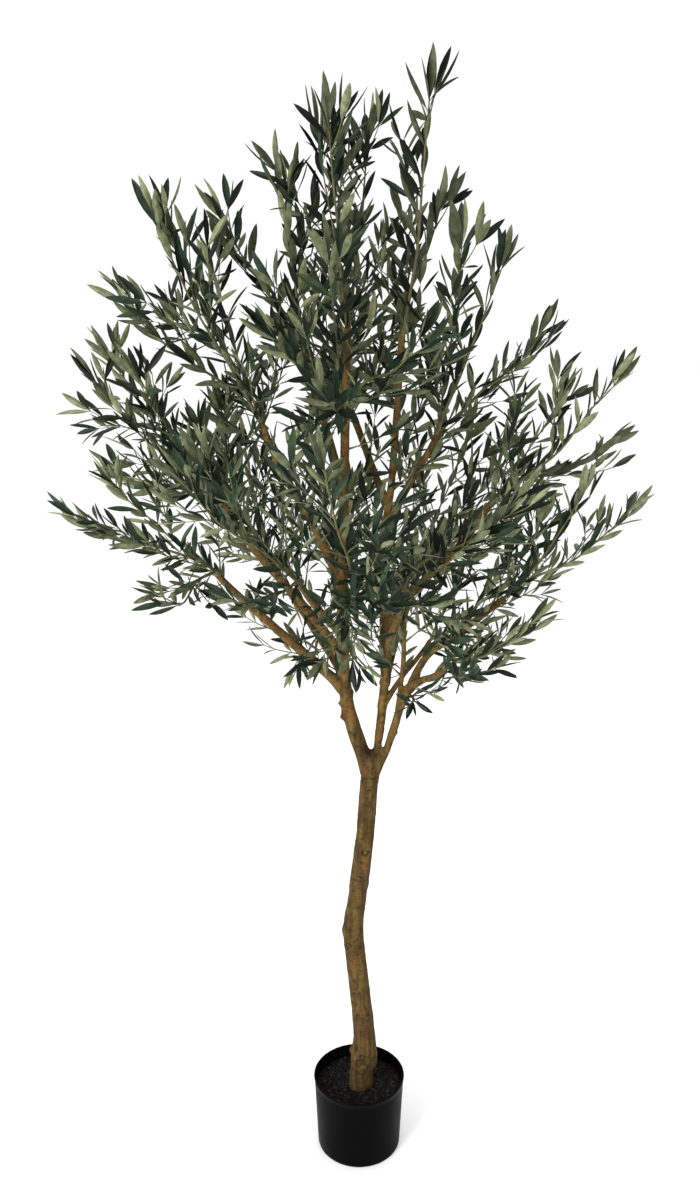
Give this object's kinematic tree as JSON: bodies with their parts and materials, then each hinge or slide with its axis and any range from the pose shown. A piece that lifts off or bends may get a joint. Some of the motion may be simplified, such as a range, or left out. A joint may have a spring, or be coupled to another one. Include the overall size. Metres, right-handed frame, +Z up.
{
  "type": "artificial potted olive tree",
  "caption": "Artificial olive tree in a plain black plant pot, with a bare bending stem that forks into boughs carrying an open round head of narrow grey-green leaves.",
  "frame": {"origin": "middle of the pot's flat underside, where the plant stands", "axes": "+Z up the plant; the stem's fork and low-right boughs spread along +X; the side seen first faces -Y"},
  "size_m": [1.2317, 1.0268, 2.3595],
  "materials": {
    "pot": "moulded matt plastic",
    "fill": "dark weighted fill with a gravelly top",
    "bark": "rough olive-brown bark",
    "bough_bark": "warm brown bark",
    "leaves": "matt printed fabric leaves on thin stems"
  },
  "bodies": {
    "root": {"pot": "pot", "fill": "fill", "trunk": "bark", "bough_left_leader": "bough_bark", "bough_middle_leader": "bough_bark", "bough_right_leader": "bough_bark", "bough_low_left": "bough_bark", "bough_back_left": "bough_bark", "bough_left": "bough_bark", "bough_front_left": "bough_bark", "bough_back": "bough_bark", "bough_front": "bough_bark", "bough_high_left": "bough_bark", "bough_front_high": "bough_bark", "bough_upper_left": "bough_bark", "bough_back_right": "bough_bark", "bough_front_right": "bough_bark", "bough_right": "bough_bark", "bough_upper_right": "bough_bark", "bough_back_high": "bough_bark", "bough_lowest_right": "bough_bark", "foliage_top_front": "leaves", "foliage_top_back": "leaves", "foliage_top": "leaves", "foliage_top_right": "leaves", "foliage_far_right": "leaves", "foliage_right_inner": "leaves", "foliage_far_left": "leaves", "foliage_low_left": "leaves", "foliage_left_middle": "leaves", "foliage_left_raised": "leaves", "foliage_left_high": "leaves", "foliage_upper_left": "leaves", "foliage_upper_left_back": "leaves", "foliage_top_left": "leaves", "foliage_upper_right": "leaves", "foliage_right_high": "leaves", "foliage_right_raised": "leaves", "foliage_right_middle": "leaves", "foliage_low_right": "leaves", "foliage_lowest_front_right": "leaves", "foliage_lowest_right": "leaves", "foliage_front_left_low": "leaves", "foliage_front_left": "leaves", "foliage_front_lowest": "leaves", "foliage_front_low": "leaves", "foliage_front": "leaves", "foliage_front_right_low": "leaves", "foliage_front_right": "leaves", "foliage_front_upper_left": "leaves", "foliage_front_upper_right": "leaves", "foliage_back_left_low": "leaves", "foliage_back_left": "leaves", "foliage_back_low": "leaves", "foliage_back": "leaves", "foliage_back_right_low": "leaves", "foliage_back_right": "leaves", "foliage_back_upper_left": "leaves", "foliage_back_upper_right": "leaves"}
  },
  "joints": []
}
